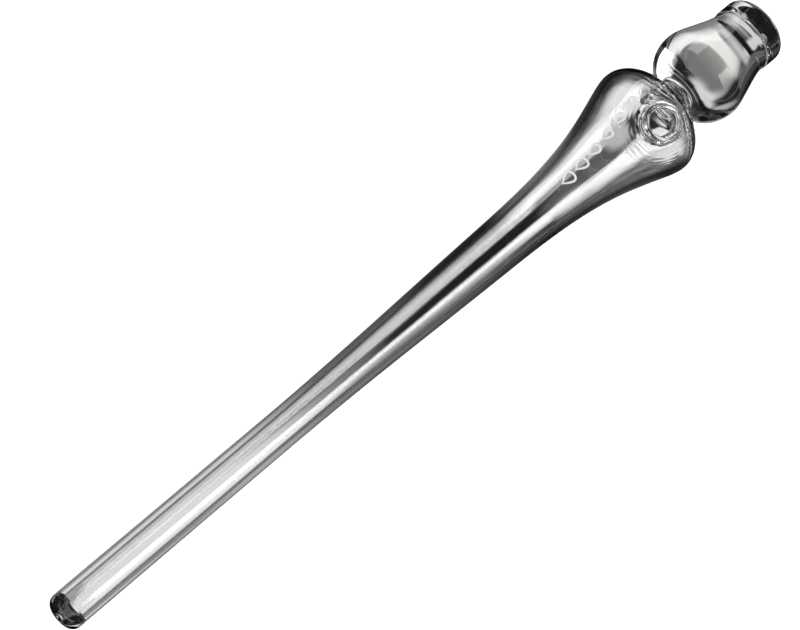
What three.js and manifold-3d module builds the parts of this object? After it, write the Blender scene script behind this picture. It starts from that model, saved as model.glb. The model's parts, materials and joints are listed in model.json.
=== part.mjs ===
// Whisky pipette in clear glass: a slender dropper tube that opens into a rounded shoulder with a
// finger hole, closed by a solid finial in the form of a small tulip tasting glass.
// Millimetres, +Z up. It lies on the rim of its tip and on its shoulder, tip towards -X, hole upwards.
// The real object is one piece of glass: its sections are fused where the meshes here meet face to face.

import * as THREE from "three";
import { mergeVertices } from "three/addons/utils/BufferGeometryUtils.js";
import Module from "manifold-3d";

// Tip: the thick, fire-polished end with its fine orifice
const tipLength = 9;
const noseDepth = 2;
const orificeDiameter = 1.6;
const orificeRounding = 0.3;
const orificeLand = 1.1;
const throatLength = 6;

// Stem: plain parallel tube
const stemDiameter = 7;
const stemWall = 1.1;
const stemLength = 41;

// Flared body: a long slim taper that opens like the bell of a trumpet
const slimLength = 54;
const slimDiameter = 9.74;
const slimSlope = 0.026;
const bellLength = 30;
const bellDiameter = 16.5;
const bellSlope = 0.268;
const bellWall = 1.15;

// Shoulder: the widest circle, and the dome that closes the body behind it
const shoulderLength = 11.6;
const shoulderDiameter = 23.1;
const shoulderWall = 1.2;
const domeHeight = 6.4;
const crownWall = 1.1;

// Finger hole, on top of the shoulder, and the bead of glass that lines it and stands proud of it
const holeSetback = 3.3;
const holeDiameter = 5.1;
const lipWall = 0.95;
const lipProud = 0.75;
const lipInside = 0.5;

// Finial: foot and waist, bowl, and the band round its end
const footDiameter = 11.4;
const footHeight = 3.6;
const waistDiameter = 7.3;
const cupHeight = 6.8;
const bowlDiameter = 19.3;
const bowlTaperLength = 11.6;
const neckDiameter = 13.5;
const bandStep = 0.25;
const bandHeight = 4.9;
const bandRounding = 1.4;

// Each round has this many flats, and one of them faces straight down
const flats = 32;

const wasm = await Module();
wasm.setup();

// A point of a profile: its distance from the glass axis, and its place along the section
const at = (radius, along) => new THREE.Vector2(radius, along);

// A run of wall between two stations, each with a radius, a place and a slope.
// leave and arrive are the shares of its length that hold to the slopes of its two ends.
function run(from, to, steps, leave = 1 / 3, arrive = 1 / 3) {
  const length = to.along - from.along;
  return new THREE.CubicBezierCurve(
    at(from.radius, from.along),
    at(from.radius + from.slope * leave * length, from.along + leave * length),
    at(to.radius - to.slope * arrive * length, to.along - arrive * length),
    at(to.radius, to.along),
  ).getPoints(steps);
}

// A stretch of an ellipse between two angles in degrees, where 0 is straight out from the axis
function round(centre, across, lengthwise, fromAngle, toAngle, steps) {
  const [start, end] = [fromAngle, toAngle].map(THREE.MathUtils.degToRad);
  return new THREE.EllipseCurve(centre.x, centre.y, across, lengthwise, start, end).getPoints(steps);
}

// A profile without the points that repeat the one before them, as where two of its curves meet
function withoutRepeats(points) {
  const leastStep = 0.01;
  return points.filter((point, i) => i === 0 || point.distanceTo(points[i - 1]) > leastStep);
}

// Turns a profile round the glass axis, which lies along +X
function revolve(profile) {
  const solid = new THREE.LatheGeometry(withoutRepeats(profile), flats, Math.PI / flats);
  return solid.rotateZ(-Math.PI / 2);
}

// The same for a tube: up its outside, down its inside, and closed across its first face
function revolveWall(outside, inside) {
  return revolve([...outside, ...inside.toReversed(), outside[0]]);
}

// A named piece of glass, placed at its station along the axis
function glass(name, geometry, station = 0) {
  const look = { color: 0xdfe8ea, roughness: 0.03, metalness: 0, transparent: true, opacity: 0.35 };
  const mesh = new THREE.Mesh(geometry, new THREE.MeshStandardMaterial(look));
  mesh.name = name;
  mesh.position.x = station;
  return mesh;
}

// A closed geometry as a solid that can be cut
function solidOf(geometry) {
  const bare = geometry.clone();
  bare.deleteAttribute("normal");
  bare.deleteAttribute("uv");
  const merged = mergeVertices(bare, 1e-3);
  const corners = merged.index.array;
  const triangles = [];
  for (let i = 0; i < corners.length; i += 3) {
    const [a, b, c] = corners.subarray(i, i + 3);
    if (a !== b && b !== c && c !== a) triangles.push(a, b, c);
  }
  const vertProperties = merged.attributes.position.array;
  const triVerts = new Uint32Array(triangles);
  return new wasm.Manifold(new wasm.Mesh({ numProp: 3, vertProperties, triVerts }));
}

// A solid as a geometry again
function geometryOf(solid) {
  const { vertProperties, triVerts } = solid.getMesh();
  const geometry = new THREE.BufferGeometry();
  geometry.setAttribute("position", new THREE.BufferAttribute(vertProperties, 3));
  geometry.setIndex(new THREE.BufferAttribute(triVerts, 1));
  geometry.computeVertexNormals();
  return geometry;
}

// Where each section starts, measured along the axis from the end of the tip
const stemStation = tipLength;
const slimStation = stemStation + stemLength;
const shoulderStation = slimStation + slimLength + bellLength;
const seatAngle = Math.acos(footDiameter / shoulderDiameter);
const seatRise = domeHeight * Math.sin(seatAngle);
const footStation = shoulderStation + shoulderLength + seatRise;
const bowlStation = footStation + footHeight;
const bandStation = bowlStation + cupHeight + bowlTaperLength;

function tipOutside() {
  const edge = orificeDiameter / 2 + orificeRounding;
  const outer = stemDiameter / 2;
  return [
    ...round(at(edge, orificeRounding), orificeRounding, orificeRounding, 180, 270, 3),
    ...round(at(edge, noseDepth), outer - edge, noseDepth, 270, 360, 7),
    at(outer, tipLength),
  ];
}

function tipNozzle() {
  const bore = stemDiameter / 2 - stemWall;
  const landEnd = { radius: orificeDiameter / 2, along: orificeRounding + orificeLand, slope: 0 };
  const throatEnd = { radius: bore, along: landEnd.along + throatLength, slope: 0 };
  const inside = [...run(landEnd, throatEnd, 7, 0.45, 0.45), at(bore, tipLength)];
  return glass("tip_nozzle", revolveWall(tipOutside(), inside));
}

function stemTube() {
  const outside = [at(stemDiameter / 2, 0), at(stemDiameter / 2, stemLength)];
  const inside = outside.map((point) => at(point.x - stemWall, point.y));
  return glass("stem_tube", revolveWall(outside, inside), stemStation);
}

// One face of the body's wall: the outer one has walls of 0
function bodySide(startWall, endWall) {
  const start = { radius: stemDiameter / 2 - startWall, along: 0, slope: 0 };
  const slimEnd = { radius: slimDiameter / 2 - startWall, along: slimLength, slope: slimSlope };
  const bellEnd = { radius: bellDiameter / 2 - endWall, along: slimLength + bellLength, slope: bellSlope };
  return [...run(start, slimEnd, 6), ...run(slimEnd, bellEnd, 9)];
}

function flaredBody() {
  return glass("flared_body", revolveWall(bodySide(0, 0), bodySide(stemWall, bellWall)), slimStation);
}

// One face of the shoulder up to its widest circle: straight at first, then turned in tightly
function shoulderSide(startWall, endWall) {
  const start = { radius: bellDiameter / 2 - startWall, along: 0, slope: bellSlope };
  const widest = { radius: shoulderDiameter / 2 - endWall, along: shoulderLength, slope: 0 };
  return run(start, widest, 9, 0.5, 0.17);
}

// The finger hole's seat: its middle on the shoulder's outer face, and how far that leans to the tip
const lipRadius = holeDiameter / 2 + lipWall;
const holeAlong = shoulderLength - holeSetback;

function holeSeat() {
  const side = shoulderSide(0, 0);
  const radiusAt = (along) => {
    const next = side.findIndex((point) => point.y >= along);
    if (next < 1) return side.at(next).x;
    const [low, high] = [side[next - 1], side[next]];
    return THREE.MathUtils.mapLinear(along, low.y, high.y, low.x, high.x);
  };
  const rise = radiusAt(holeAlong + lipRadius) - radiusAt(holeAlong - lipRadius);
  return { radius: radiusAt(holeAlong), lean: Math.atan2(rise, 2 * lipRadius) };
}

// Moves a shape made round +Y to the hole, where +Y leaves the glass square to its wall
function placeAtHole(object) {
  const { radius, lean } = holeSeat();
  object.position.set(holeAlong, 0, radius);
  object.rotation.set(Math.PI / 2, 0, lean, "YXZ");
  object.updateMatrix();
  return object;
}

// How deep the lip goes below the wall's outer face: past its inner one where that curves away most
function lipDepth() {
  const { radius } = holeSeat();
  const fall = radius - Math.sqrt(radius ** 2 - lipRadius ** 2);
  return shoulderWall + fall + lipInside;
}

function shoulderBulb() {
  const middle = at(0, shoulderLength);
  const outer = shoulderDiameter / 2;
  const outside = [
    ...shoulderSide(0, 0),
    ...round(middle, outer, domeHeight, 0, THREE.MathUtils.radToDeg(seatAngle), 6),
    at(0, shoulderLength + seatRise),
  ];
  const inside = [
    ...shoulderSide(bellWall, shoulderWall),
    ...round(middle, outer - shoulderWall, seatRise - crownWall, 0, 90, 8),
  ];
  const whole = solidOf(revolve([...inside.toReversed(), ...outside]));
  const [bottom, top] = [-2 * lipDepth(), lipRadius];
  const drill = new THREE.LatheGeometry(
    [at(0, bottom), at(lipRadius, bottom), at(lipRadius, top), at(0, top)],
    flats,
  );
  drill.applyMatrix4(placeAtHole(new THREE.Object3D()).matrix);
  return glass("shoulder_bulb", geometryOf(whole.subtract(solidOf(drill))), shoulderStation);
}

function fingerHoleLip() {
  const bead = lipWall / 2;
  const middle = holeDiameter / 2 + bead;
  const top = at(middle, lipProud - bead);
  const bottom = at(middle, bead - lipDepth());
  const section = [
    ...round(top, bead, bead, 0, 180, 8),
    ...round(bottom, bead, bead, 180, 360, 8),
    at(middle + bead, top.y),
  ];
  const lip = placeAtHole(glass("finger_hole_lip", new THREE.LatheGeometry(withoutRepeats(section), flats)));
  lip.position.x += shoulderStation;
  return lip;
}

function finialFoot() {
  const rim = { radius: footDiameter / 2, along: 0, slope: -0.2 };
  const waist = { radius: waistDiameter / 2, along: footHeight, slope: 0 };
  const side = run(rim, waist, 7, 0.25, 0.55);
  return glass("finial_foot", revolve([at(0, 0), ...side, at(0, footHeight)]), footStation);
}

// The bowl's outline: a full cup over the waist, then the taper to the neck
function bowlSide() {
  const waist = waistDiameter / 2;
  const wide = bowlDiameter / 2;
  const fullness = 0.68;
  const cup = new THREE.CubicBezierCurve(
    at(waist, 0),
    at(THREE.MathUtils.lerp(waist, wide, fullness), 0),
    at(wide, cupHeight / 2),
    at(wide, cupHeight),
  ).getPoints(10);
  const belly = { radius: wide, along: cupHeight, slope: 0 };
  const neck = { radius: neckDiameter / 2, along: cupHeight + bowlTaperLength, slope: 0 };
  return [...cup, ...run(belly, neck, 10, 0.21, 0.27)];
}

function finialBowl() {
  const profile = [at(0, 0), ...bowlSide(), at(0, cupHeight + bowlTaperLength)];
  return glass("finial_bowl", revolve(profile), bowlStation);
}

function finialBand() {
  const neck = neckDiameter / 2;
  const endEdge = at(neck + bandStep - bandRounding, bandHeight - bandRounding);
  const profile = [
    at(0, 0),
    ...round(at(neck, bandStep), bandStep, bandStep, 270, 360, 3),
    ...round(endEdge, bandRounding, bandRounding, 0, 90, 6),
    at(0, bandHeight),
  ];
  return glass("finial_band", revolve(profile), bandStation);
}

// How steeply the axis rises when the glass lies on a flat surface: on a ring of the tip, and on
// the ring of the shoulder or the bowl that comes down first
function restAngle() {
  const flatness = Math.cos(Math.PI / flats);
  const rings = (points, station) => points.map((point) => at(point.x * flatness, point.y + station));
  const front = rings(tipOutside(), 0);
  const back = [...rings(shoulderSide(0, 0), shoulderStation), ...rings(bowlSide(), bowlStation)];
  const height = (ring, angle) => ring.y * Math.sin(angle) - ring.x * Math.cos(angle);
  const lowest = (list, angle) => {
    const heights = list.map((ring) => height(ring, angle));
    return list[heights.indexOf(Math.min(...heights))];
  };
  const passes = 8;
  let angle = 0;
  for (let pass = 0; pass < passes; pass++) {
    const [tip, bulge] = [lowest(front, angle), lowest(back, angle)];
    angle = Math.atan2(bulge.x - tip.x, bulge.y - tip.y);
  }
  return angle;
}

const pipette = new THREE.Group();
pipette.add(tipNozzle(), stemTube(), flaredBody(), shoulderBulb(), fingerHoleLip());
pipette.add(finialFoot(), finialBowl(), finialBand());
pipette.rotation.y = -restAngle();

// The origin is on the surface that the glass lies on, under the middle of its length
const part = new THREE.Group();
part.add(pipette);
part.updateMatrixWorld(true);
const box = new THREE.Box3().setFromObject(part, true);
const middle = box.getCenter(new THREE.Vector3());
pipette.position.set(-middle.x, -middle.y, -box.min.z);

export default part;
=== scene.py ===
"""Whisky pipette in clear lampworked glass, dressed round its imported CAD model.

The real object is one piece of glass, so its eight CAD sections are drawn here as one unbroken
skin: down the outside from the end of the finial to the tip, in at the orifice, and back up the
bore to the inside of the shoulder's dome. The finger hole joins the two sides through its bead.
Sizes are in millimetres in the glass's own frame: +X along the axis from the end of the tip, and
+Z out through the finger hole. A line of points holds them as (along, radius).
"""

from __future__ import annotations

import json
import logging
import math
from dataclasses import dataclass, field
from enum import Enum
from itertools import accumulate, starmap

import bmesh
import bpy
from bmesh.types import BMEdge, BMesh, BMVert
from bpy.types import Material, Node, NodeSocket, NodeTree, Object, World
from mathutils import Matrix, Vector, noise
from mathutils.geometry import interpolate_bezier
from numpy import interp

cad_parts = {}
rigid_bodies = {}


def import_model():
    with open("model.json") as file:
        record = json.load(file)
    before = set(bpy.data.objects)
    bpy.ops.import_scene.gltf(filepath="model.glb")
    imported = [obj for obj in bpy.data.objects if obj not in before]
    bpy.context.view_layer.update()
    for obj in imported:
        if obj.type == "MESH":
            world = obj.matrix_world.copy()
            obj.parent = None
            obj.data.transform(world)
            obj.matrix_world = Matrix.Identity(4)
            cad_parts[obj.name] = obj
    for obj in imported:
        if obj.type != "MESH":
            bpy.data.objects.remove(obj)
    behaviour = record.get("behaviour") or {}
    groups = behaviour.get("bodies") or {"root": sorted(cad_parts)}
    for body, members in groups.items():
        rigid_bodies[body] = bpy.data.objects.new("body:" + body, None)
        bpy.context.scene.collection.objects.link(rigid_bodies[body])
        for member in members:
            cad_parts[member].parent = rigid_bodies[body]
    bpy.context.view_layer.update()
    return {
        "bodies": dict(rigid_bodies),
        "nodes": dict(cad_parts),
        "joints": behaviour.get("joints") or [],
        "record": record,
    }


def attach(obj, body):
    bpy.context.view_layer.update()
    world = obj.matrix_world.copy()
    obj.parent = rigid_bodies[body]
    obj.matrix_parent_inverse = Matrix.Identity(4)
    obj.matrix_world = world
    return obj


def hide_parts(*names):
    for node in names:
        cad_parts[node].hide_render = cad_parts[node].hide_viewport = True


LOG = logging.getLogger("whisky_pipette")
MM = 0.001
DISC_SEGMENTS = 48

Pair = tuple[float, float]
Tint = tuple[float, float, float]
Ramp = tuple[Pair, ...]
Line = list[Vector]
Inputs = dict[str | int, object]

# tints of the glowing cards: CREAM and COOL colour painted pale patches of light in the finial
NEUTRAL: Tint = (1.0, 1.0, 1.0)
COOL: Tint = (0.97, 0.99, 1.02)
CREAM: Tint = (1.02, 1.0, 0.93)


@dataclass(frozen=True)
class Station:
    """A place on a wall: how far along the axis, its radius, and the wall's slope there."""

    along: float
    radius: float
    slope: float = 0.0


def run(start: Station, end: Station, steps: int, hold: Pair = (1 / 3, 1 / 3)) -> Line:
    """Draws a wall between two stations as one Bezier curve.

    Args:
        start: Where the wall starts.
        end: Where it ends.
        steps: The number of steps between them.
        hold: The shares of the length that hold to the slope at the start and at the end.

    Returns:
        The points.
    """
    length = end.along - start.along
    leave, arrive = hold
    knots = (
        (start.along, start.radius),
        (start.along + leave * length, start.radius + start.slope * leave * length),
        (end.along - arrive * length, end.radius - end.slope * arrive * length),
        (end.along, end.radius),
    )
    return interpolate_bezier(*map(Vector, knots), steps + 1)


def arc(middle: Pair, reach: Pair, turn: Pair, steps: int) -> Line:
    """Draws a stretch of an ellipse.

    Args:
        middle: Its middle as (along, radius).
        reach: Its half-widths along the axis and away from it.
        turn: The first and last angle in degrees, where 0 is straight out and 90 towards the finial.
        steps: The number of steps.

    Returns:
        The points.
    """
    (along, radius), (length, width) = middle, reach
    first, last = map(math.radians, turn)
    angles = [first + (last - first) * i / steps for i in range(steps + 1)]
    return [Vector((along + length * math.sin(a), radius + width * math.cos(a))) for a in angles]


def smooth_step(value: float) -> float:
    """Turns a share from 0 to 1 into one that starts and ends gently."""
    share = min(1.0, max(0.0, value))
    return share * share * (3 - 2 * share)


def radius_at(profile: Line, along: float) -> float:
    """Finds a profile's radius at a station along the axis."""
    return float(interp(along, [point.x for point in profile], [point.y for point in profile]))


def turn_round(bm: BMesh, line: list[BMVert], axis: tuple[int, int, int], steps: int, merge: float) -> None:
    """Spins a line of vertices a full turn about an axis through the origin, and closes its poles.

    Args:
        bm: The mesh that holds the line.
        line: Its vertices in order.
        axis: The direction of the axis.
        steps: The number of segments.
        merge: The distance within which vertices become one.
    """
    edges = [bm.edges.new(pair) for pair in zip(line, line[1:])]
    bmesh.ops.spin(
        bm, geom=[*line, *edges], cent=(0, 0, 0), axis=axis, dvec=(0, 0, 0), angle=math.tau, steps=steps,
        use_merge=True, use_duplicate=False,
    )
    bmesh.ops.remove_doubles(bm, verts=bm.verts, dist=merge)
    bmesh.ops.recalc_face_normals(bm, faces=bm.faces)


def draw_on(bm: BMesh, loop: list[BMEdge]) -> tuple[list[BMEdge], list[BMVert]]:
    """Extrudes a closed loop in place.

    Args:
        bm: The mesh that holds it.
        loop: Its edges.

    Returns:
        The edges and the vertices of the new loop.
    """
    made = bmesh.ops.extrude_edge_only(bm, edges=loop)["geom"]
    fresh = [item for item in made if isinstance(item, BMVert)]
    edges = [item for item in made if isinstance(item, BMEdge)]
    return [edge for edge in edges if all(vert in fresh for vert in edge.verts)], fresh


def new_piece(name: str, bm: BMesh, placed: Matrix) -> Object:
    """Makes an object of a bmesh, with its place in its mesh, and frees the bmesh.

    Args:
        name: The piece's name.
        bm: Its mesh.
        placed: What takes that mesh to the row frame.

    Returns:
        The object, at the origin.
    """
    for face in bm.faces:
        face.smooth = True
    bmesh.ops.transform(bm, matrix=placed, verts=bm.verts)
    mesh = bpy.data.meshes.new(name)
    bm.to_mesh(mesh)
    bm.free()
    made = bpy.data.objects.new(name, mesh)
    bpy.context.scene.collection.objects.link(made)
    return made


@dataclass(frozen=True)
class DropperTip:
    """The thick fire-polished end with its fine orifice."""

    length: float = 9.0
    nose_depth: float = 2.0
    nose_steps: int = 10
    orifice_diameter: float = 1.6
    orifice_rounding: float = 0.3
    rounding_steps: int = 4
    orifice_land: float = 0.7
    throat_length: float = 2.4
    throat_steps: int = 14
    throat_hold: Pair = (0.1, 0.6)

    def outside(self, stem_radius: float) -> Line:
        """Draws the outside from the stem down to the orifice.

        Args:
            stem_radius: The stem's outer radius.

        Returns:
            The points.
        """
        small = self.orifice_rounding
        edge = self.orifice_diameter / 2 + small
        nose = arc((self.nose_depth, edge), (self.nose_depth, stem_radius - edge), (0, -90), self.nose_steps)
        rim = arc((small, edge), (small, small), (-90, -180), self.rounding_steps)
        return [Vector((self.length, stem_radius)), *nose, *rim[1:]]

    def inside(self, bore_radius: float) -> Line:
        """Draws the inside from the orifice up to the stem's bore.

        Args:
            bore_radius: The bore's radius in the stem.

        Returns:
            The points.
        """
        land_end = Station(self.orifice_rounding + self.orifice_land, self.orifice_diameter / 2)
        bore = Station(land_end.along + self.throat_length, bore_radius)
        return [*run(land_end, bore, self.throat_steps, self.throat_hold), Vector((self.length, bore_radius))]


@dataclass(frozen=True)
class Tube:
    """The plain stem and the flared body that grows out of it."""

    stem_diameter: float = 7.0
    stem_wall: float = 1.1
    stem_length: float = 41.0
    slim_length: float = 54.0
    slim_diameter: float = 9.74
    slim_slope: float = 0.026
    bell_length: float = 30.0
    bell_diameter: float = 16.5
    bell_slope: float = 0.268
    bell_wall: float = 1.15
    steps: tuple[int, int, int] = (8, 16, 20)

    @property
    def length(self) -> float:
        """The stem and the body together."""
        return self.stem_length + self.slim_length + self.bell_length

    def side(self, start: float, stem_wall: float = 0.0, bell_wall: float = 0.0) -> Line:
        """Draws one face of the wall from the tip to the shoulder.

        Args:
            start: The station where the stem starts.
            stem_wall: How far this face lies inside the outer one at the stem.
            bell_wall: How far it lies inside the outer one at the shoulder.

        Returns:
            The points.
        """
        stem = Station(start, self.stem_diameter / 2 - stem_wall)
        slim = Station(start + self.stem_length, stem.radius)
        waist = Station(slim.along + self.slim_length, self.slim_diameter / 2 - stem_wall, self.slim_slope)
        bell = Station(waist.along + self.bell_length, self.bell_diameter / 2 - bell_wall, self.bell_slope)
        lower, middle, upper = self.steps
        return [*run(stem, slim, lower), *run(slim, waist, middle)[1:], *run(waist, bell, upper)[1:]]


@dataclass(frozen=True)
class Shoulder:
    """The widest circle of the glass and the dome that closes the body behind it."""

    length: float = 11.6
    diameter: float = 23.1
    wall: float = 1.2
    dome_height: float = 6.4
    crown_wall: float = 1.1
    foot_diameter: float = 11.4
    side_hold: Pair = (0.5, 0.17)
    side_steps: int = 80
    dome_steps: int = 60

    @property
    def seat_angle(self) -> float:
        """The dome's angle in degrees where the finial's foot sits on it."""
        return math.degrees(math.acos(self.foot_diameter / self.diameter))

    @property
    def seat_rise(self) -> float:
        """How far the foot's seat lies behind the widest circle."""
        return self.dome_height * math.sin(math.radians(self.seat_angle))

    def face(self, bell: Station, wall: float, rise: float, last_turn: float) -> Line:
        """Draws the face this deep in the wall, from the bell over the widest circle and up its dome."""
        widest = Station(bell.along + self.length, self.diameter / 2 - wall)
        return [
            *run(bell, widest, self.side_steps, self.side_hold),
            *arc((widest.along, 0), (rise, widest.radius), (0, last_turn), self.dome_steps)[1:],
        ]

    def outside(self, bell: Station) -> Line:
        """Draws the outer face from the bell to the finial's seat."""
        return self.face(bell, 0.0, self.dome_height, self.seat_angle)

    def inside(self, bell: Station) -> Line:
        """Draws the inner face from the bell to the middle of the dome."""
        return self.face(bell, self.wall, self.seat_rise - self.crown_wall, 90)


@dataclass(frozen=True)
class FingerHole:
    """The hole on top of the shoulder and the bead of glass that lines it."""

    setback: float = 3.3
    diameter: float = 5.1
    bead_wall: float = 0.95
    proud: float = 0.75
    inside: float = 0.5
    settle: float = 0.45
    fillet: float = 1.5
    fillet_rise: float = 0.3
    crest_step: int = 36
    bore_rings: tuple[float, ...] = (0.25, 0.5, 0.75)

    @property
    def bead(self) -> float:
        """Half the thickness of the bead."""
        return self.bead_wall / 2

    @property
    def middle(self) -> float:
        """The radius of the bead's own middle line."""
        return self.diameter / 2 + self.bead

    def section(self, wall: float, fall: float) -> list[Pair]:
        """Draws the bead's section from its outer flank, over the top and down the bore.

        Args:
            wall: How thick the shoulder is.
            fall: How far its round side drops across the bead.

        Returns:
            Points as (distance from the hole's axis, height over the wall's outer face).
        """
        top, bottom = self.proud - self.bead, self.bead - wall - fall - self.inside
        crest = [math.radians(a) for a in range(0, 181, self.crest_step)]
        upper = [(self.middle + self.bead * math.cos(a), top + self.bead * math.sin(a)) for a in crest]
        lower = [(self.middle - self.bead * math.cos(a), bottom - self.bead * math.sin(a)) for a in crest]
        bore = [(self.diameter / 2, top + (bottom - top) * share) for share in self.bore_rings]
        return [*upper, *bore, *lower]


@dataclass(frozen=True)
class Finial:
    """The solid end, shaped as a small tulip tasting glass: foot and waist, bowl, and end band."""

    foot_height: float = 3.6
    foot_slope: float = -0.2
    foot_hold: Pair = (0.25, 0.55)
    foot_steps: int = 12
    waist_diameter: float = 7.3
    cup_height: float = 6.8
    cup_fullness: float = 0.68
    cup_steps: int = 18
    bowl_diameter: float = 19.3
    taper_length: float = 11.6
    taper_hold: Pair = (0.21, 0.27)
    taper_steps: int = 20
    neck_diameter: float = 13.5
    band_step: float = 0.25
    band_height: float = 4.9
    band_rounding: float = 1.4
    rounding_steps: tuple[int, int] = (3, 7)
    band_rings: Pair = (0.8, 0.6)
    face_rings: tuple[float, ...] = (0.8, 0.55, 0.3, 0.0)

    @property
    def length(self) -> float:
        """The finial from its seat to its end."""
        return self.foot_height + self.cup_height + self.taper_length + self.band_height

    def outside(self, seat: float, foot_diameter: float) -> Line:
        """Draws the outside from the seat on the dome to the middle of the end face.

        Args:
            seat: The station of the seat.
            foot_diameter: How wide the foot is there.

        Returns:
            The points.
        """
        waist = Station(seat + self.foot_height, self.waist_diameter / 2)
        foot = run(Station(seat, foot_diameter / 2, self.foot_slope), waist, self.foot_steps, self.foot_hold)
        belly = Station(waist.along + self.cup_height, self.bowl_diameter / 2)
        swell = waist.radius + (belly.radius - waist.radius) * self.cup_fullness
        half = waist.along + self.cup_height / 2
        start, middle, last = (waist.along, waist.radius), (half, belly.radius), (belly.along, belly.radius)
        knots = (start, (waist.along, swell), middle, last)
        cup = interpolate_bezier(*map(Vector, knots), self.cup_steps + 1)
        neck = Station(belly.along + self.taper_length, self.neck_diameter / 2)
        taper = run(belly, neck, self.taper_steps, self.taper_hold)
        rise, inset = self.band_step, self.band_rounding
        step = arc((neck.along + rise, neck.radius), (rise, rise), (-90, 0), self.rounding_steps[0])
        outer, end = neck.radius + rise, neck.along + self.band_height
        after_step, before_edge = self.band_rings
        rings = neck.along + rise + after_step, end - inset - before_edge
        side = [Vector((spot, outer)) for spot in rings]
        edge = arc((end - inset, outer - inset), (inset, inset), (0, 90), self.rounding_steps[1])
        face = [Vector((end, edge[-1].y * share)) for share in self.face_rings]
        return [*foot, *cup[1:], *taper[1:], *step[1:], *side, *edge, *face]


class Side(Enum):
    """The two faces of the glass wall."""

    OUTSIDE = 1
    INSIDE = 2


@dataclass
class WallPatch:
    """A face of the shoulder laid out by distance over the glass, in rings an even step apart."""

    points: Line
    middle_along: float
    step: float
    margin: float = 0.4
    reach: list[float] = field(init=False)
    middle: float = field(init=False)
    first: int = field(init=False)
    last: int = field(init=False)

    def __post_init__(self) -> None:
        """Measures the face and where the hole's middle lies on it."""
        lengths = [(after - before).length for before, after in zip(self.points, self.points[1:])]
        self.reach = list(accumulate(lengths, initial=0.0))
        nearest = min(range(len(self.points)), key=lambda i: abs(self.points[i].x - self.middle_along))
        self.middle = self.reach[nearest]
        clear = self.margin * self.step
        self.first = -int((self.middle - clear) / self.step)
        self.last = int((self.reach[-1] - self.middle - clear) / self.step)

    def at(self, distance: float) -> Vector:
        """Finds the point that lies this far from the hole's middle, towards the finial."""
        reach = self.middle + distance
        return Vector([interp(reach, self.reach, [point[i] for point in self.points]) for i in (0, 1)])

    def rings(self) -> list[tuple[Vector, int]]:
        """Gives the face's points at its even steps between its two ends, each with its number."""
        return [(self.at(i * self.step), i) for i in range(self.first, self.last + 1)]


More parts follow.
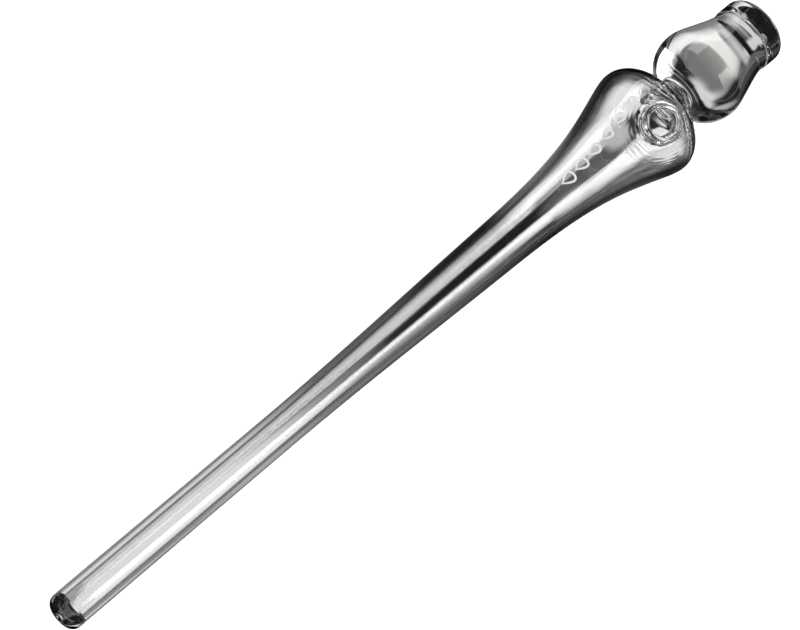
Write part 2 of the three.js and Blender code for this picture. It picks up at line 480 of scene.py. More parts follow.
@dataclass
class PipetteGlass:
    """The whole glass, as one skin with a bore, an orifice and a finger hole."""

    tip: DropperTip = field(default_factory=DropperTip)
    tube: Tube = field(default_factory=Tube)
    shoulder: Shoulder = field(default_factory=Shoulder)
    hole: FingerHole = field(default_factory=FingerHole)
    finial: Finial = field(default_factory=Finial)
    segments: int = 96
    hole_rings: int = 5
    gather_rings: int = 10
    ring_share: float = 1.02
    sway: float = 0.035
    sway_reach: float = 1.6
    drawn_scale: Pair = (0.06, 0.2)
    drawn_share: float = 0.5
    wave_scale: float = 0.2
    fine_scale: float = 0.62
    fine_shift: tuple[float, float, float] = (17.0, 3.0, 8.0)
    fine_share: float = 0.45
    bell_station: float = field(init=False)
    seat_station: float = field(init=False)
    length: float = field(init=False)
    fall: float = field(init=False)
    skins: dict[Side, WallPatch] = field(init=False)
    hole_frame: Matrix = field(init=False)

    def __post_init__(self) -> None:
        """Works out where each section starts and lays out both faces of the shoulder."""
        self.bell_station = self.tip.length + self.tube.length
        self.seat_station = self.bell_station + self.shoulder.length + self.shoulder.seat_rise
        self.length = self.seat_station + self.finial.length
        bell, slope = self.tube.bell_diameter / 2, self.tube.bell_slope
        outer = self.shoulder.outside(Station(self.bell_station, bell, slope))
        inner = self.shoulder.inside(Station(self.bell_station, bell - self.tube.bell_wall, slope))
        along = self.bell_station + self.shoulder.length - self.hole.setback
        reach = self.hole.middle + self.hole.bead
        before, seat, after = (
            min(outer, key=lambda p, spot=along + side * reach: abs(p.x - spot)) for side in (-1, 0, 1)
        )
        lean = math.atan2(after.y - before.y, after.x - before.x)
        step = reach * self.ring_share / self.hole_rings
        self.fall = seat.y - math.sqrt(seat.y**2 - reach**2)
        self.skins = {
            Side.OUTSIDE: WallPatch(outer, along, step),
            Side.INSIDE: WallPatch(inner, along + self.shoulder.wall * math.sin(lean), step),
        }
        self.hole_frame = Matrix.Translation((along, 0, seat.y)) @ Matrix.Rotation(-lean, 4, "Y")

    def outline(self) -> list[tuple[Vector, int, int]]:
        """Draws the whole half-section, from the end face to the inside of the dome.

        Returns:
            For each point its (along, radius), and on the shoulder its side's number and ring.
        """
        tube, outer, inner = self.tube, self.skins[Side.OUTSIDE], self.skins[Side.INSIDE]
        radius = tube.stem_diameter / 2
        down = [
            *reversed(tube.side(self.tip.length)),
            *self.tip.outside(radius)[1:],
            *self.tip.inside(radius - tube.stem_wall),
            *tube.side(self.tip.length, tube.stem_wall, tube.bell_wall)[1:],
        ]
        finial = self.finial.outside(self.seat_station, self.shoulder.foot_diameter)
        made = [(point, 0, 0) for point in reversed(finial)]
        made += [(point, Side.OUTSIDE.value, ring) for point, ring in reversed(outer.rings())]
        made += [(point, 0, 0) for point in down]
        made += [(point, Side.INSIDE.value, ring) for point, ring in inner.rings()]
        return [*made, (inner.points[-1], 0, 0)]

    def outer_profile(self) -> Line:
        """Draws the outside from the foot of the stem to the finial's seat."""
        return [*self.tube.side(self.tip.length), *self.skins[Side.OUTSIDE].points[1:]]

    def skin(self) -> BMesh:
        """Turns the half-section round the axis and closes it where it meets the axis.

        Returns:
            The mesh, whose vertices know their side and ring.
        """
        bm = bmesh.new()
        side_layer = bm.verts.layers.int.new("side")
        ring_layer = bm.verts.layers.int.new("ring")
        line = []
        for point, side, ring in self.outline():
            vert = bm.verts.new((point.x, 0, max(point.y, 0.0)))
            vert[side_layer], vert[ring_layer] = side, ring
            line.append(vert)
        turn_round(bm, line, (1, 0, 0), self.segments, merge=1e-4)
        return bm

    def grid_place(self, vert: BMVert, bm: BMesh) -> tuple[int, int, int]:
        """Gives a vertex's side, 0 off the shoulder, and its ring and segment from the hole's middle."""
        side, ring = (vert[bm.verts.layers.int[name]] for name in ("side", "ring"))
        return side, ring, round(math.atan2(-vert.co.y, vert.co.z) / math.tau * self.segments)

    def gather(self, bm: BMesh) -> None:
        """Draws the square grid round the hole into circles and raises the fillet at the bead.

        Args:
            bm: The glass.
        """
        for vert in bm.verts:
            side, ring, segment = self.grid_place(vert, bm)
            square = max(abs(ring), abs(segment))
            if not side or not 0 < square < self.gather_rings:
                continue
            patch = self.skins[Side(side)]
            waist = patch.at(0).y
            flat = Vector((ring * patch.step, waist * segment * math.tau / self.segments))
            minor, major = sorted((abs(ring), abs(segment)))
            angle = math.pi / 4 * minor / major
            if abs(segment) > abs(ring):
                angle = math.pi / 2 - angle
            circle = Vector((math.copysign(math.cos(angle), ring), math.copysign(math.sin(angle), segment)))
            circle *= square * patch.step
            away = (square - self.hole_rings) / (self.gather_rings - self.hole_rings)
            spot = circle.lerp(flat, smooth_step(away))
            point = patch.at(spot.x)
            turn = spot.y / waist
            outward = Vector((0, -math.sin(turn), math.cos(turn)))
            beyond = spot.length - self.hole_rings * patch.step
            rise = self.hole.fillet_rise * (1 - smooth_step(beyond / self.hole.fillet)) ** 2
            lift = rise if Side(side) is Side.OUTSIDE else -rise
            vert.co = Vector((point.x, 0, 0)) + outward * (point.y + lift)

    def cut_hole(self, bm: BMesh) -> dict[Side, list[BMEdge]]:
        """Opens the finger hole through both faces of the wall.

        Args:
            bm: The glass.

        Returns:
            The edges round the opening on each side.
        """
        places = {vert: self.grid_place(vert, bm) for vert in bm.verts}
        near = {v for v, (side, *grid) in places.items() if side and max(map(abs, grid)) <= self.hole_rings}
        opened = [face for face in bm.faces if near.issuperset(face.verts)]
        edges = [edge for face in opened for edge in face.edges]
        sides: dict[Side, list[BMEdge]] = {side: [] for side in Side}
        for edge in edges:
            if edges.count(edge) == 1:
                sides[Side(places[edge.verts[0]][0])].append(edge)
        bmesh.ops.delete(bm, geom=opened, context="FACES")
        return sides

    def raise_bead(self, bm: BMesh, sides: dict[Side, list[BMEdge]]) -> None:
        """Draws the bead from the outer opening over into the hole and joins it to the inner one.

        Args:
            bm: The glass.
            sides: The edges round the opening on each side.
        """
        to_hole = self.hole_frame.inverted()
        reach = self.hole.middle + self.hole.bead
        loop = sides[Side.OUTSIDE]
        for distance, height in self.hole.section(self.shoulder.wall, self.fall):
            loop, fresh = draw_on(bm, loop)
            upper = smooth_step(1 + height / self.shoulder.wall)
            for vert in fresh:
                local = to_hole @ vert.co
                out = Vector((local.x, local.y, 0)).normalized()
                drop = self.hole.settle * self.fall * out.y**2 * (distance / reach) ** 2
                vert.co = self.hole_frame @ (out * distance + Vector((0, 0, height - drop * upper)))
        bmesh.ops.bridge_loops(bm, edges=[*loop, *sides[Side.INSIDE]])

    def hand_sway(self, bm: BMesh) -> None:
        """Lets the surface wander slightly, as glass worked by hand at the flame does.

        Args:
            bm: The glass.
        """
        bm.normal_update()
        hole = self.hole_frame.translation
        reach = self.sway_reach * self.shoulder.diameter
        lengthwise, round_it = self.drawn_scale
        for vert in bm.verts:
            near = 1 - smooth_step((vert.co - hole).length / reach)
            drawn = Vector((vert.co.x * lengthwise, vert.co.y * round_it, vert.co.z * round_it))
            fine = noise.noise(vert.co * self.fine_scale + Vector(self.fine_shift))
            wave = noise.noise(vert.co * self.wave_scale) + self.fine_share * fine
            vert.co += vert.normal * self.sway * (self.drawn_share * noise.noise(drawn) + near * wave)

    def build(self, placed: Matrix) -> Object:
        """Makes the glass as one object in the row frame.

        Args:
            placed: The glass's own frame in the row frame, with millimetres made metres.

        Returns:
            The object, with its place in its mesh.
        """
        bm = self.skin()
        self.gather(bm)
        self.raise_bead(bm, self.cut_hole(bm))
        bmesh.ops.recalc_face_normals(bm, faces=bm.faces)
        self.hand_sway(bm)
        for name in ("side", "ring"):
            bm.verts.layers.int.remove(bm.verts.layers.int[name])
        glass = new_piece("pipette_glass", bm, placed)
        finish = glass.modifiers.new("fire_polish", "SUBSURF")
        finish.levels = finish.render_levels = 1
        return glass


@dataclass
class EtchedDrops:
    """A row of frosted water drops in outline, slanting up the flare towards the hole."""

    count: int = 6
    first_along: float = 122.3
    pitch: float = 3.7
    first_turn: float = 22.0
    last_turn: float = 37.0
    length: float = 3.3
    width: float = 2.9
    fullness: float = 1.18
    point: float = 1.3
    heart: float = 0.25
    shrink: float = 0.05
    stroke: float = 0.42
    stroke_steps: int = 2
    proud: float = 0.02
    outline_steps: int = 36

    def drop(self, bm: BMesh, size: float) -> list[BMVert]:
        """Draws the outline of one drop flat about the origin, its point towards -X.

        Args:
            bm: The mesh that takes it.
            size: Its share of the full length and width.

        Returns:
            Its vertices.
        """
        made = bmesh.ops.create_circle(bm, segments=self.outline_steps, radius=1)["verts"]
        for vert in made:
            turn = math.atan2(vert.co.y, vert.co.x)
            across = self.fullness * math.sin(turn) * abs(math.cos(turn / 2)) ** self.point * self.width
            vert.co = Vector((math.cos(turn) * self.length, across, 0)) * size / 2
        middle = Vector((self.heart * self.length, 0, 0)) * size / 2
        loop = list(dict.fromkeys(edge for vert in made for edge in vert.link_edges))
        for _ in range(self.stroke_steps):
            loop, fresh = draw_on(bm, loop)
            for vert in fresh:
                vert.co += (middle - vert.co).normalized() * self.stroke / self.stroke_steps
            made += fresh
        return made

    def build(self, glass: PipetteGlass, placed: Matrix) -> Object:
        """Lays the drops on the outside of the glass.

        Args:
            glass: The glass that carries them.
            placed: The glass's own frame in the row frame.

        Returns:
            The row of drops as one object.
        """
        profile = glass.outer_profile()
        bm = bmesh.new()
        for i in range(self.count):
            share = i / (self.count - 1)
            middle = self.first_along + i * self.pitch
            girth = radius_at(profile, middle)
            around = math.radians(self.first_turn + (self.last_turn - self.first_turn) * share) * girth
            for vert in self.drop(bm, 1 - self.shrink * i):
                along, angle = middle + vert.co.x, (around + vert.co.y) / girth
                radius = radius_at(profile, along) + self.proud
                vert.co = Vector((along, radius * math.sin(angle), radius * math.cos(angle)))
        bmesh.ops.recalc_face_normals(bm, faces=bm.faces)
        for face in bm.faces:
            centre = face.calc_center_median()
            if face.normal.dot(Vector((0, centre.y, centre.z))) < 0:
                face.normal_flip()
        return new_piece("etched_drops", bm, placed)


def feed(tree: NodeTree, node: Node, inputs: Inputs) -> None:
    """Sets a node's inputs, or links them to what feeds them.

    Args:
        tree: The node tree that holds it.
        node: The node.
        inputs: For each input its value, or the socket that feeds it.
    """
    for name, value in inputs.items():
        if isinstance(value, NodeSocket):
            tree.links.new(value, node.inputs[name])
        else:
            node.inputs[name].default_value = value


def add_node(tree: NodeTree, kind: str, inputs: Inputs, **settings: object) -> Node:
    """Adds a shader node.

    Args:
        tree: The node tree that takes it.
        kind: Its type, without the leading ShaderNode.
        inputs: For each input its value, or the socket that feeds it.
        settings: Its own properties.

    Returns:
        The node.
    """
    node = tree.nodes.new(f"ShaderNode{kind}")
    for name, value in settings.items():
        setattr(node, name, value)
    feed(tree, node, inputs)
    return node


def reckon(tree: NodeTree, operation: str, *terms: NodeSocket | float) -> NodeSocket:
    """Works out a sum of sockets and numbers in a math node."""
    return add_node(tree, "Math", dict(enumerate(terms)), operation=operation).outputs["Value"]


def eased(tree: NodeTree, value: NodeSocket, span: Pair, low: float = 0, high: float = 1) -> NodeSocket:
    """Maps a value from a span onto the range from low to high, with soft ends."""
    inputs = {"Value": value, "From Min": span[0], "From Max": span[1], "To Min": low, "To Max": high}
    return add_node(tree, "MapRange", inputs, interpolation_type="SMOOTHSTEP").outputs["Result"]


def distance_from(tree: NodeTree, spot: Vector, place: NodeSocket) -> NodeSocket:
    """Measures how far a place lies from a fixed spot."""
    return add_node(tree, "VectorMath", {0: place, 1: spot}, operation="DISTANCE").outputs["Value"]


def new_material(name: str) -> tuple[Material, NodeTree, Node]:
    """Makes a material.

    Args:
        name: Its name.

    Returns:
        The material, its node tree and its shader.
    """
    made = bpy.data.materials.new(name)
    made.use_nodes = True
    return made, made.node_tree, made.node_tree.nodes["Principled BSDF"]


@dataclass(frozen=True)
class Flame:
    """What working in the flame leaves in the glass: draw lines, faint waves and rings at the hole."""

    line_scale: float = 900.0
    line_stretch: float = 0.006
    line_detail: float = 3.0
    ring_scale: float = 1100.0
    ring_span: Pair = (0.004, 0.012)
    wobble_scale: float = 130.0
    wobble_depth: float = 0.006
    haze_scale: float = 60.0
    haze_detail: float = 4.0
    group_name: str = "flame_marks"

    def group(self, hole: Vector, axis: Vector) -> NodeTree:
        """Builds the marks as a node group with a height and a bloom, which varies the polish.

        Args:
            hole: The middle of the finger hole in the row frame.
            axis: The direction of the glass axis.

        Returns:
            The group.
        """
        tree = bpy.data.node_groups.new(self.group_name, "ShaderNodeTree")
        for name in ("Lines", "Rings", "Polish", "Bloom"):
            tree.interface.new_socket(name, in_out="INPUT", socket_type="NodeSocketFloat")
        for name in ("Height", "Roughness"):
            tree.interface.new_socket(name, in_out="OUTPUT", socket_type="NodeSocketFloat")
        given = tree.nodes.new("NodeGroupInput").outputs
        place = add_node(tree, "TexCoord", {}).outputs["Object"]

        slope = (0, math.atan2(axis.z, axis.x), 0)
        turned = add_node(tree, "Mapping", {"Vector": place, "Rotation": slope})
        stretch = {"Vector": turned.outputs["Vector"], "Scale": (self.line_stretch, 1, 1)}
        drawn = add_node(tree, "Mapping", stretch).outputs["Vector"]
        grain = {"Vector": drawn, "Scale": self.line_scale, "Detail": self.line_detail}
        lines = add_node(tree, "TexNoise", grain)

        from_hole = distance_from(tree, hole, place)
        near = eased(tree, from_hole, self.ring_span, 1, 0)
        wobble = add_node(tree, "TexNoise", {"Vector": place, "Scale": self.wobble_scale})
        phase = reckon(tree, "MULTIPLY_ADD", wobble.outputs["Fac"], self.wobble_depth, from_hole)
        rings = reckon(tree, "SINE", reckon(tree, "MULTIPLY", phase, self.ring_scale * math.tau))
        ringed = reckon(tree, "MULTIPLY", reckon(tree, "MULTIPLY", rings, near), given["Rings"])
        lined = reckon(tree, "MULTIPLY", lines.outputs["Fac"], given["Lines"])

        cloud = {"Vector": place, "Scale": self.haze_scale, "Detail": self.haze_detail}
        haze = add_node(tree, "TexNoise", cloud)
        bloomed = reckon(tree, "MULTIPLY_ADD", haze.outputs["Fac"], given["Bloom"], given["Polish"])
        put_out = {"Height": reckon(tree, "ADD", ringed, lined), "Roughness": bloomed}
        feed(tree, tree.nodes.new("NodeGroupOutput"), put_out)
        return tree


class Surface(Enum):
    """The two finishes of the glass."""

    POLISHED = "clear_glass_fire_polished"
    ETCHED = "clear_glass_etched"


@dataclass(frozen=True)
class GlassFinish:
    """One finish of the glass, with what the flame left in it, and painted shade at its rims where rim is
    under 1.
    """

    surface: Surface
    colour: Tint
    transmission: float
    polish: float
    bloom: float
    lines: float
    rings: float
    depth: float
    index: float = 1.49
    # share of the colour left at the rims: painted rim shade, off at 1
    rim: float = 1.0
    painted_rim_span: Pair = (0.36, 0.64)

    def material(self, flame: NodeTree) -> Material:
        """Builds the finish as a material.

        Args:
            flame: The group with the marks that the flame left.

        Returns:
            The material.
        """
        made, tree, shader = new_material(self.surface.value)
        given = {"Lines": self.lines, "Rings": self.rings, "Polish": self.polish, "Bloom": self.bloom}
        marks = add_node(tree, "Group", given, node_tree=flame)
        bump = add_node(tree, "Bump", {"Distance": self.depth, "Height": marks.outputs["Height"]})
        feed(tree, shader, {
            "Base Color": (*self.colour, 1),
            "Transmission Weight": self.transmission,
            "IOR": self.index,
            "Roughness": marks.outputs["Roughness"],
            "Normal": bump.outputs["Normal"],
        })
        # painted shade: the Base Color darkens towards the rims as they turn from the view
        if self.rim < 1:
            feed(tree, shader, {"Base Color": self.painted_rim_shade(tree)})
        return made

    def painted_rim_shade(self, tree: NodeTree) -> NodeSocket:
        """Paints shade into the glass's colour towards its rims, where the surface turns away from the view,
        for the glass's dark edges.

        Args:
            tree: The material's node tree.

        Returns:
            The socket of the colour.
        """
        facing = add_node(tree, "LayerWeight", {"Blend": 0.5}).outputs["Facing"]
        rim = (*(c * self.rim for c in self.colour), 1)
        inputs = {"A": (*self.colour, 1), "B": rim, "Factor": eased(tree, facing, self.painted_rim_span)}
        return add_node(tree, "Mix", inputs, data_type="RGBA").outputs["Result"]


POLISHED = GlassFinish(
    Surface.POLISHED,
    colour=(0.98, 0.983, 0.979),
    transmission=1,
    polish=0,
    bloom=0.012,
    lines=0.08,
    rings=0.3,
    depth=0.00002,
    # painted rim shade: the glass's colour falls to this share at its rims
    rim=0.08,
)
ETCHED = GlassFinish(
    Surface.ETCHED,
    colour=(0.96, 0.97, 0.97),
    transmission=0.15,
    polish=0.5,
    bloom=0.15,
    lines=0.2,
    rings=0,
    depth=0.00004,
)


@dataclass(frozen=True)
class StudioCamera:
    """The photograph's view, as the glass sits in it."""

    lens: float = 100.0
    sensor: float = 36.0
    clip: Pair = (0.02, 20.0)
    tilt: float = 21.375
    yaw: float = -0.4023
    hole_turn: float = 11.0
    image_right: float = 0.769
    image_up: float = 0.639
    tip_place: tuple[float, float, float] = (-76.187, 2.4572, 370.33)

    def build(self, placed: Matrix) -> Object:
        """Makes the camera and gives it to the scene.

        Args:
            placed: The glass's own frame in the row frame.

        Returns:
            The camera.
        """
        tilt, yaw, turn = (math.radians(a) for a in (self.tilt, self.yaw, self.hole_turn))
        into = Vector((math.sin(tilt), -math.cos(tilt) * math.sin(turn), -math.cos(tilt) * math.cos(turn)))
        across = into.cross(Vector((1, 0, 0))).normalized()
        axes = (across.cross(into).normalized(), across)
        along, across = (Matrix.Rotation(-yaw, 3, into) @ axis for axis in axes)
        right = self.image_right * along + self.image_up * across
        up = self.image_up * along - self.image_right * across
        offset = sum((axis * size for axis, size in zip((along, across, into), self.tip_place)), Vector())
        view = Matrix((right, up, -into)).transposed().to_4x4()
        turned = placed.to_quaternion().to_matrix().to_4x4()
        data = bpy.data.cameras.new("studio_camera")
        data.lens, data.sensor_width, data.sensor_fit = self.lens, self.sensor, "HORIZONTAL"
        data.clip_start, data.clip_end = self.clip
        camera = bpy.data.objects.new("studio_camera", data)
        camera.matrix_world = Matrix.Translation(placed @ -offset) @ turned @ view
        bpy.context.scene.collection.objects.link(camera)
        bpy.context.scene.camera = camera
        return camera


def glowing_face(
    name: str, ramp: Ramp, strength: float = 1.0, fade: float = 0.0, soft: float = 0.0, tint: Tint = NEUTRAL
) -> Material:
    """Builds a dull black face that glows by a ramp over its UV map's second axis.

    Args:
        name: The material's name.
        ramp: The glow at each share of that axis.
        strength: The light that a glow of 1 stands for.
        fade: The share of the first axis over which each side thins out to nothing.
        soft: Where it isn't 0 the face is round, and thins out over this share of its radius.
        tint: The colour of the glow.

    Returns:
        The material.
    """
    made, tree, shader = new_material(name)
    spot = add_node(tree, "UVMap", {}).outputs["UV"]
    split = add_node(tree, "SeparateXYZ", {"Vector": spot}).outputs
    grade = add_node(tree, "ValToRGB", {"Fac": split["Y"]})
    first, *between, last = ramp
    stops = grade.color_ramp.elements
    for stop, (place, glow) in zip(stops, (first, last)):
        stop.position, stop.color = place, (*(glow * c for c in tint), 1)
    for place, glow in between:
        stops.new(place).color = (*(glow * c for c in tint), 1)
    feed(tree, shader, {
        "Base Color": (0, 0, 0, 1),
        "Roughness": 1,
        "Specular IOR Level": 0,
        "Emission Strength": strength,
        "Emission Color": grade.outputs["Color"],
    })
    if fade:
        to_side = reckon(tree, "PINGPONG", split["X"], 0.5)
        feed(tree, shader, {"Alpha": eased(tree, to_side, (0, fade))})
    if soft:
        from_middle = distance_from(tree, Vector((0.5, 0.5, 0)), spot)
        feed(tree, shader, {"Alpha": eased(tree, from_middle, (0.5, 0.5 * (1 - soft)))})
    return made


def studio_sheet(
    name: str, placing: Matrix, face: Material, on_table: bool = False, is_round: bool = False
) -> Object:
    """Makes a flat sheet of the studio of unit size, out of the camera's direct sight.

    Args:
        name: The sheet's name.
        placing: What takes the unit sheet to the row frame.
        face: Its material, whose ramp runs along the sheet's second axis.
        on_table: Whether it lies under the glass, where it lights nothing and only the glass shows it, as
            painted light and shade.
        is_round: Whether it is a disc and not a square.

    Returns:
        The sheet.
    """
    bm = bmesh.new()
    if is_round:
        bmesh.ops.create_circle(bm, cap_ends=True, segments=DISC_SEGMENTS, radius=0.5)
    else:
        bmesh.ops.create_grid(bm, x_segments=1, y_segments=1, size=0.5)
    uv = bm.loops.layers.uv.new("sheet")
    for corner in (loop for patch in bm.faces for loop in patch.loops):
        corner[uv].uv = (corner.vert.co.x + 0.5, corner.vert.co.y + 0.5)
    sheet = new_piece(name, bm, placing)
    sheet.data.materials.append(face)
    sheet.visible_camera = False
    sheet.visible_diffuse = sheet.visible_shadow = not on_table
    return sheet


@dataclass(frozen=True)
class Panel:
    """A flat studio panel beside the glass, a soft box or a dark flag, in metres."""

    name: str
    turn: float
    distance: float
    ahead: float
    length: float
    width: float
    strength: float = 1.0
    ramp: Ramp = ((0, 0), (1, 0))

    def build(self, placed: Matrix) -> Object:
        """Hangs the panel facing the glass.

        Args:
            placed: The glass's own frame in the row frame.

        Returns:
            The panel.
        """
        angle = math.radians(self.turn)
        out = Vector((0, math.sin(angle), math.cos(angle)))
        across = Vector((1, 0, 0)).cross(out)
        spot = out * self.distance + Vector((self.ahead, 0, 0))
        frame = Matrix((Vector((-1, 0, 0)), across, -out)).transposed().to_4x4()
        shape = Matrix.Diagonal((self.length, self.width, 1, 1))
        placing = placed @ Matrix.Scale(1 / MM, 4) @ Matrix.Translation(spot) @ frame @ shape
        return studio_sheet(self.name, placing, glowing_face(self.name, self.ramp, self.strength))


@dataclass(frozen=True)
class PaintedGlassCard:
    """A long glowing card under the glass that only the glass shows, in millimetres: its glow is painted
    light and shade.

    The ramp runs along the glass, from the card's start to its end.
    """

    name: str
    along: Pair
    across: Pair
    fade: float
    ramp: Ramp

    def build(self, raised: float) -> Object:
        """Lays the card down.

        Args:
            raised: Its height over the table, which is its own.

        Returns:
            The card.
        """
        (start, end), (right, left) = self.along, self.across
        shape = Matrix((
            (0, end - start, 0, (start + end) / 2),
            (left - right, 0, 0, (left + right) / 2),
            (0, 0, 1, raised),
            (0, 0, 0, 1),
        ))
        shares = tuple(((place - start) / (end - start), glow) for place, glow in self.ramp)
        face = glowing_face(self.name, shares, fade=self.fade)
        return studio_sheet(self.name, Matrix.Scale(MM, 4) @ shape, face, on_table=True)


@dataclass(frozen=True)
class PaintedGlassSpot:
    """A round glowing card with a soft edge under the glass that only the glass shows, in millimetres: bright
    ones are painted highlights, dark ones painted shade.
    """

    name: str
    middle: Pair
    radii: Pair
    glow: float
    soft: float
    height: float = 0.0
    tint: Tint = NEUTRAL

    def build(self, raised: float) -> Object:
        """Lays the card down.

        Args:
            raised: What is added to its height, so that no two cards share one.

        Returns:
            The card.
        """
        (along, across), (length, width) = self.middle, self.radii
        place = Matrix.Scale(MM, 4) @ Matrix.Translation((along, across, self.height + raised))
        placing = place @ Matrix.Diagonal((2 * length, 2 * width, 1, 1))
        face = glowing_face(self.name, ((0, self.glow), (1, self.glow)), soft=self.soft, tint=self.tint)
        return studio_sheet(self.name, placing, face, on_table=True, is_round=True)


@dataclass
class Studio:
    """The pale floor, the dim room, the panels round the glass, and the glowing cards under it that paint
    light and shade into the glass.
    """

    floor_radius: float = 0.9
    cove_radius: float = 0.35
    cove_steps: int = 12
    floor_segments: int = 64
    floor_drop: float = 0.00008
    floor_shade: float = 0.8
    white_share: float = 0.75
    room: float = 0.5
    room_seen: float = 0.04
    card_step: float = 0.004
    # glowing cards that only the glass shows: painted light and painted shade in the glass, while the camera
    # sees the white floor
    cards: tuple[PaintedGlassCard, ...] = tuple(starmap(PaintedGlassCard, (
        ("glass_painted_gray", (-700, 700), (-700, 700), 0, ((-700, 0.4), (700, 0.4))),
        ("glass_painted_dark", (-150, 160), (-70, 70), 0.3, ((-150, 0.02), (160, 0.02))),
        ("right_strip", (-86, 78), (-44, -5.5), 0.06, (
            (-86, 0.24), (-40, 0.2), (-10, 0.14), (10, 0.08), (24, 0.05), (32, 0.01), (50, 0.04),
            (78, 0.05),
        )),
        ("left_strip", (-86, 78), (2.6, 16), 0.1, (
            (-86, 0.75), (-45, 0.65), (-25, 0.14), (-5, 0.1), (5, 0.012), (22, 0.012), (30, 0.2), (45, 0.1),
            (78, 0.05),
        )),
        ("silver_strip", (-85.5, 78), (-1.2, 4.8), 0.12, (
            (-85.5, 0.38), (-45, 0.34), (-25, 0.33), (22, 0.32), (28, 0.6), (45, 0.5), (60, 0.8), (78, 0.8),
        )),
        ("flare_white", (26, 64), (1, 5.6), 0.25, ((26, 0.6), (32, 0.95), (64, 0.95))),
        ("body_gray", (-38, 25), (-1.2, 0.7), 0.25, ((-38, 0.3), (-10, 0.16), (25, 0.16))),
        ("white_strip", (-85, 78), (-7.6, -2.4), 0.25, (
            (-85, 0.9), (-45, 0.72), (-25, 0.55), (-5, 0.38), (20, 0.36), (28, 0.6), (50, 0.7), (78, 0.9),
        )),
        ("pale_strip", (-84.5, -36), (-3.6, 0.3), 0.25, ((-84.5, 0.95), (-48, 0.85), (-36, 0.4))),
        ("middle_strip", (-40, 66), (-3.8, -0.8), 0.08, (
            (-40, 0.6), (-30, 0.3), (-18, 0.2), (-8, 0.02), (22, 0.008), (30, 0.08), (50, 0.06), (55, 0.35),
            (57, 0.05), (61, 0.01), (63, 0.2), (66, 0.4),
        )),
        ("shoulder_white", (34, 80), (-9.5, -5.5), 0.3, (
            (34, 0.1), (44, 0.6), (55, 0.9), (80, 0.9),
        )),
        ("shoulder_streak", (54, 78), (-15, -8), 0.25, ((54, 0.2), (60, 0.8), (78, 0.9))),
    )))
    # soft round glowing cards, named for the part of the glass that shows them: painted highlights where they
    # glow bright, painted shade where dark
    spots: tuple[PaintedGlassSpot, ...] = tuple(starmap(PaintedGlassSpot, (
        ("body_right_gray", (-42, -12), (20, 9), 0.42, 0.7),
        ("body_left_silver", (-7, 0), (57, 1.4), 0.2, 0.5),
        ("body_right_white", (-11, -6), (20, 4), 0.3, 0.75),
        ("slim_right_white", (11.5, -4.2), (28, 2.1), 0.28, 0.75),
        ("stem_right_white", (-45, -5.3), (36, 2.4), 0.85, 0.8),
        ("slim_black", (23, -2.2), (32.5, 2.3), 0.01, 0.75),
        ("stem_middle_white", (-69.5, -1.7), (50, 2.4), 0.84, 0.65),
        ("tip_black", (-107.3, 0), (21, 30), 0.01, 0.02),
        ("slim_right_shade", (-5, -10), (42.5, 6.5), 0.25, 0.9),
        ("flare_middle", (46.5, -2.6), (17, 2.4), 0.11, 0.35),
        ("flare_right_gray", (41, -11), (9, 4), 0.15, 0.6),
        ("flare_right_white", (39.5, -5.7), (8.5, 3.3), 0.7, 0.9),
        ("flare_left_gray", (40.5, 7.5), (10, 4.5), 0.45, 0.4),
        ("shoulder_dark", (60, -1.5), (7, 3), 0.04, 0.45),
        ("shoulder_right_gray", (52.5, -14), (11.5, 7.5), 0.2, 0.35),
        ("shoulder_left_white", (64.5, 5.5), (19.5, 3.8), 0.9, 0.8),
        ("shoulder_patch", (56.5, 0), (5.5, 4.5), 0.55, 0.5),
        ("hole_dark", (68.5, -3.8), (5, 1.4), 0.015, 0.3),
        ("finial_white_far", (82.5, -14.5), (16, 10.5), 1, 0.2),
        ("finial_white_near", (80, -5), (5, 3.7), 1, 0.4),
        ("finial_dome", (83.3, -2.7), (2.3, 2), 0.19, 0.3),
        ("finial_gleam", (88, -1.6), (6.8, 0.85), 0.7, 0.5),
        ("finial_pale", (79.7, -2.6), (3, 1), 0.85, 0.95, 0, CREAM),
        ("finial_blue", (83.5, 2), (3.5, 2), 0.45, 0.5),
        ("finial_side", (91.4, -5.7), (1.6, 5.7), 0.7, 0.25),
        ("neck_white", (87.3, -5.3), (2.1, 4.3), 0.6, 0.5, 3),
        ("neck_pale", (82.1, -2.4), (1.8, 1), 0.7, 0.8, 3, COOL),
        ("wedge_black", (82.4, -0.2), (3, 1.5), 0.01, 0.25, 3),
        ("band_black", (84.7, -1.5), (1.2, 3.9), 0.008, 0.15, 3),
    )))
    panels: tuple[Panel, ...] = (
        Panel("key_softbox", -33, 0.6, 0.34, 0.44, 0.46, 6, ((0, 0.2), (0.08, 1), (0.35, 1), (1, 0.05))),
        Panel("side_softbox", 70, 0.6, 0.34, 0.44, 0.47, 5, ((0, 0.7), (0.6, 1), (0.95, 0.8), (1, 0.2))),
        Panel("top_flag", 27, 0.62, 0.3, 0.7, 0.32),
        Panel("right_flag", -83, 0.12, 0.09, 0.34, 0.03),
        Panel("left_flag", 83, 0.12, 0.09, 0.34, 0.03),
    )

    def floor(self) -> Object:
        """Makes the floor, with its far edge swept up into a low backdrop.

        Returns:
            The floor.
        """
        bm = bmesh.new()
        size = self.cove_radius
        cove = arc((self.floor_radius, size), (size, -size), (0, 90), self.cove_steps)
        line = [bm.verts.new((point.x, 0, point.y)) for point in (Vector((0, 0)), *cove)]
        turn_round(bm, line, (0, 0, 1), self.floor_segments, merge=1e-6)
        floor = new_piece("floor", bm, Matrix.Translation((0, 0, -self.floor_drop)))
        floor.data.materials.append(self.floor_material())
        return floor

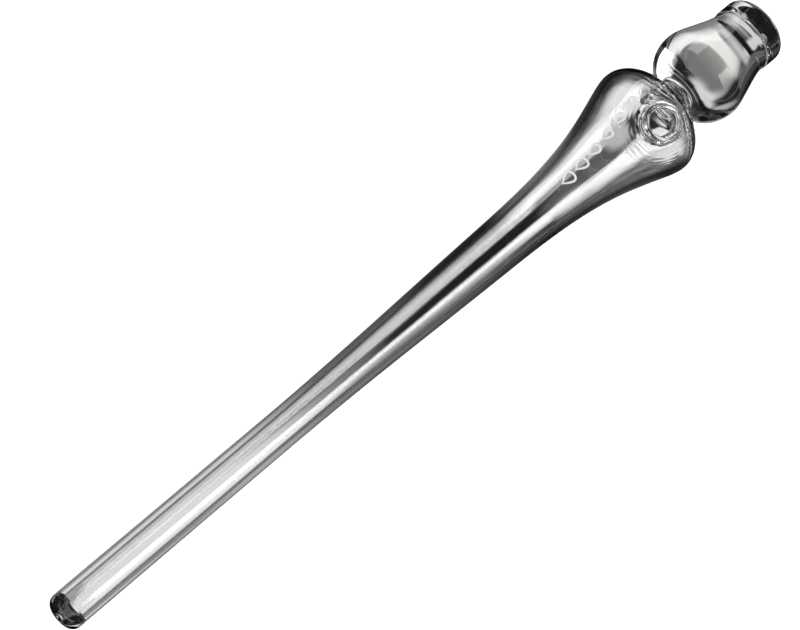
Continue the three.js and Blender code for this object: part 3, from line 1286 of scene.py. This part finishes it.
    def floor_material(self) -> Material:
        """Builds the floor's finish: pale paper, whitened wherever it is seen.

        Returns:
            The material.
        """
        made, tree, paper = new_material("floor_paper")
        feed(tree, paper, {
            "Base Color": (*(self.floor_shade,) * 3, 1),
            "Roughness": 1,
            "Specular IOR Level": 0,
            "Emission Color": (*(self.white_share,) * 3, 1),
            "Emission Strength": seen_rays(tree),
        })
        return made

    def room_light(self) -> World:
        """Builds the even light of the room, which the glass itself shows as a dark one.

        Returns:
            The world.
        """
        world = bpy.data.worlds.new("room")
        world.use_nodes = True
        tree = world.node_tree
        span = {"Value": seen_rays(tree), "To Min": self.room, "To Max": self.room_seen}
        shown = add_node(tree, "MapRange", span).outputs["Result"]
        feed(tree, tree.nodes["Background"], {"Color": (1, 1, 1, 1), "Strength": shown})
        return world

    def build(self, placed: Matrix) -> None:
        """Sets up the floor, the room light, the cards and the panels.

        Args:
            placed: The glass's own frame in the row frame.
        """
        self.floor()
        for i, card in enumerate((*self.cards, *self.spots)):
            card.build(self.card_step * i)
        bpy.context.scene.world = self.room_light()
        for panel in self.panels:
            panel.build(placed)
        bpy.context.scene.view_settings.view_transform = "Standard"


def seen_rays(tree: NodeTree) -> NodeSocket:
    """Finds the rays that show the floor: the camera's own, and those through and off the glass.

    Args:
        tree: The material that asks.

    Returns:
        A socket that is 1 for those rays and 0 for others.
    """
    path = add_node(tree, "LightPath", {}).outputs
    either = reckon(tree, "MAXIMUM", path["Is Camera Ray"], path["Is Glossy Ray"])
    return reckon(tree, "MAXIMUM", either, path["Is Transmission Ray"])


def glass_frame(record: dict, length: float) -> Matrix:
    """Finds the glass's own frame in the row frame, from the record's mount on the finial's end.

    Args:
        record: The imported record.
        length: The glass from end to end, in millimetres.

    Returns:
        What takes the glass's millimetres to the row frame's metres.
    """
    end = next(mount for mount in record["mounts"] if mount["name"] == "finial_end_face")
    along = Vector(end["axis"]).normalized()
    up = along.cross(Vector((0, 1, 0))).normalized()
    turn = Matrix((along, up.cross(along), up)).transposed().to_4x4()
    return Matrix.Translation(Vector(end["pos_m"]) - along * length * MM) @ turn @ Matrix.Scale(MM, 4)


def main() -> None:
    """Builds the glass, its etching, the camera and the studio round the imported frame."""
    logging.basicConfig(level=logging.INFO, format="%(name)s: %(message)s")
    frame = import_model()
    glass = PipetteGlass()
    placed = glass_frame(frame["record"], glass.length)
    axis = placed.to_quaternion() @ Vector((1, 0, 0))
    flame = Flame().group(placed @ glass.hole_frame.translation, axis)
    StudioCamera().build(placed)
    body = glass.build(placed)
    body.data.materials.append(POLISHED.material(flame))
    drops = EtchedDrops().build(glass, placed)
    drops.data.materials.append(ETCHED.material(flame))
    for piece in (body, drops):
        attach(piece, "root")
        LOG.info("%s: %d faces", piece.name, len(piece.data.polygons))
    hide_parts(*frame["nodes"])
    Studio().build(placed)


if __name__ == "__main__":
    main()
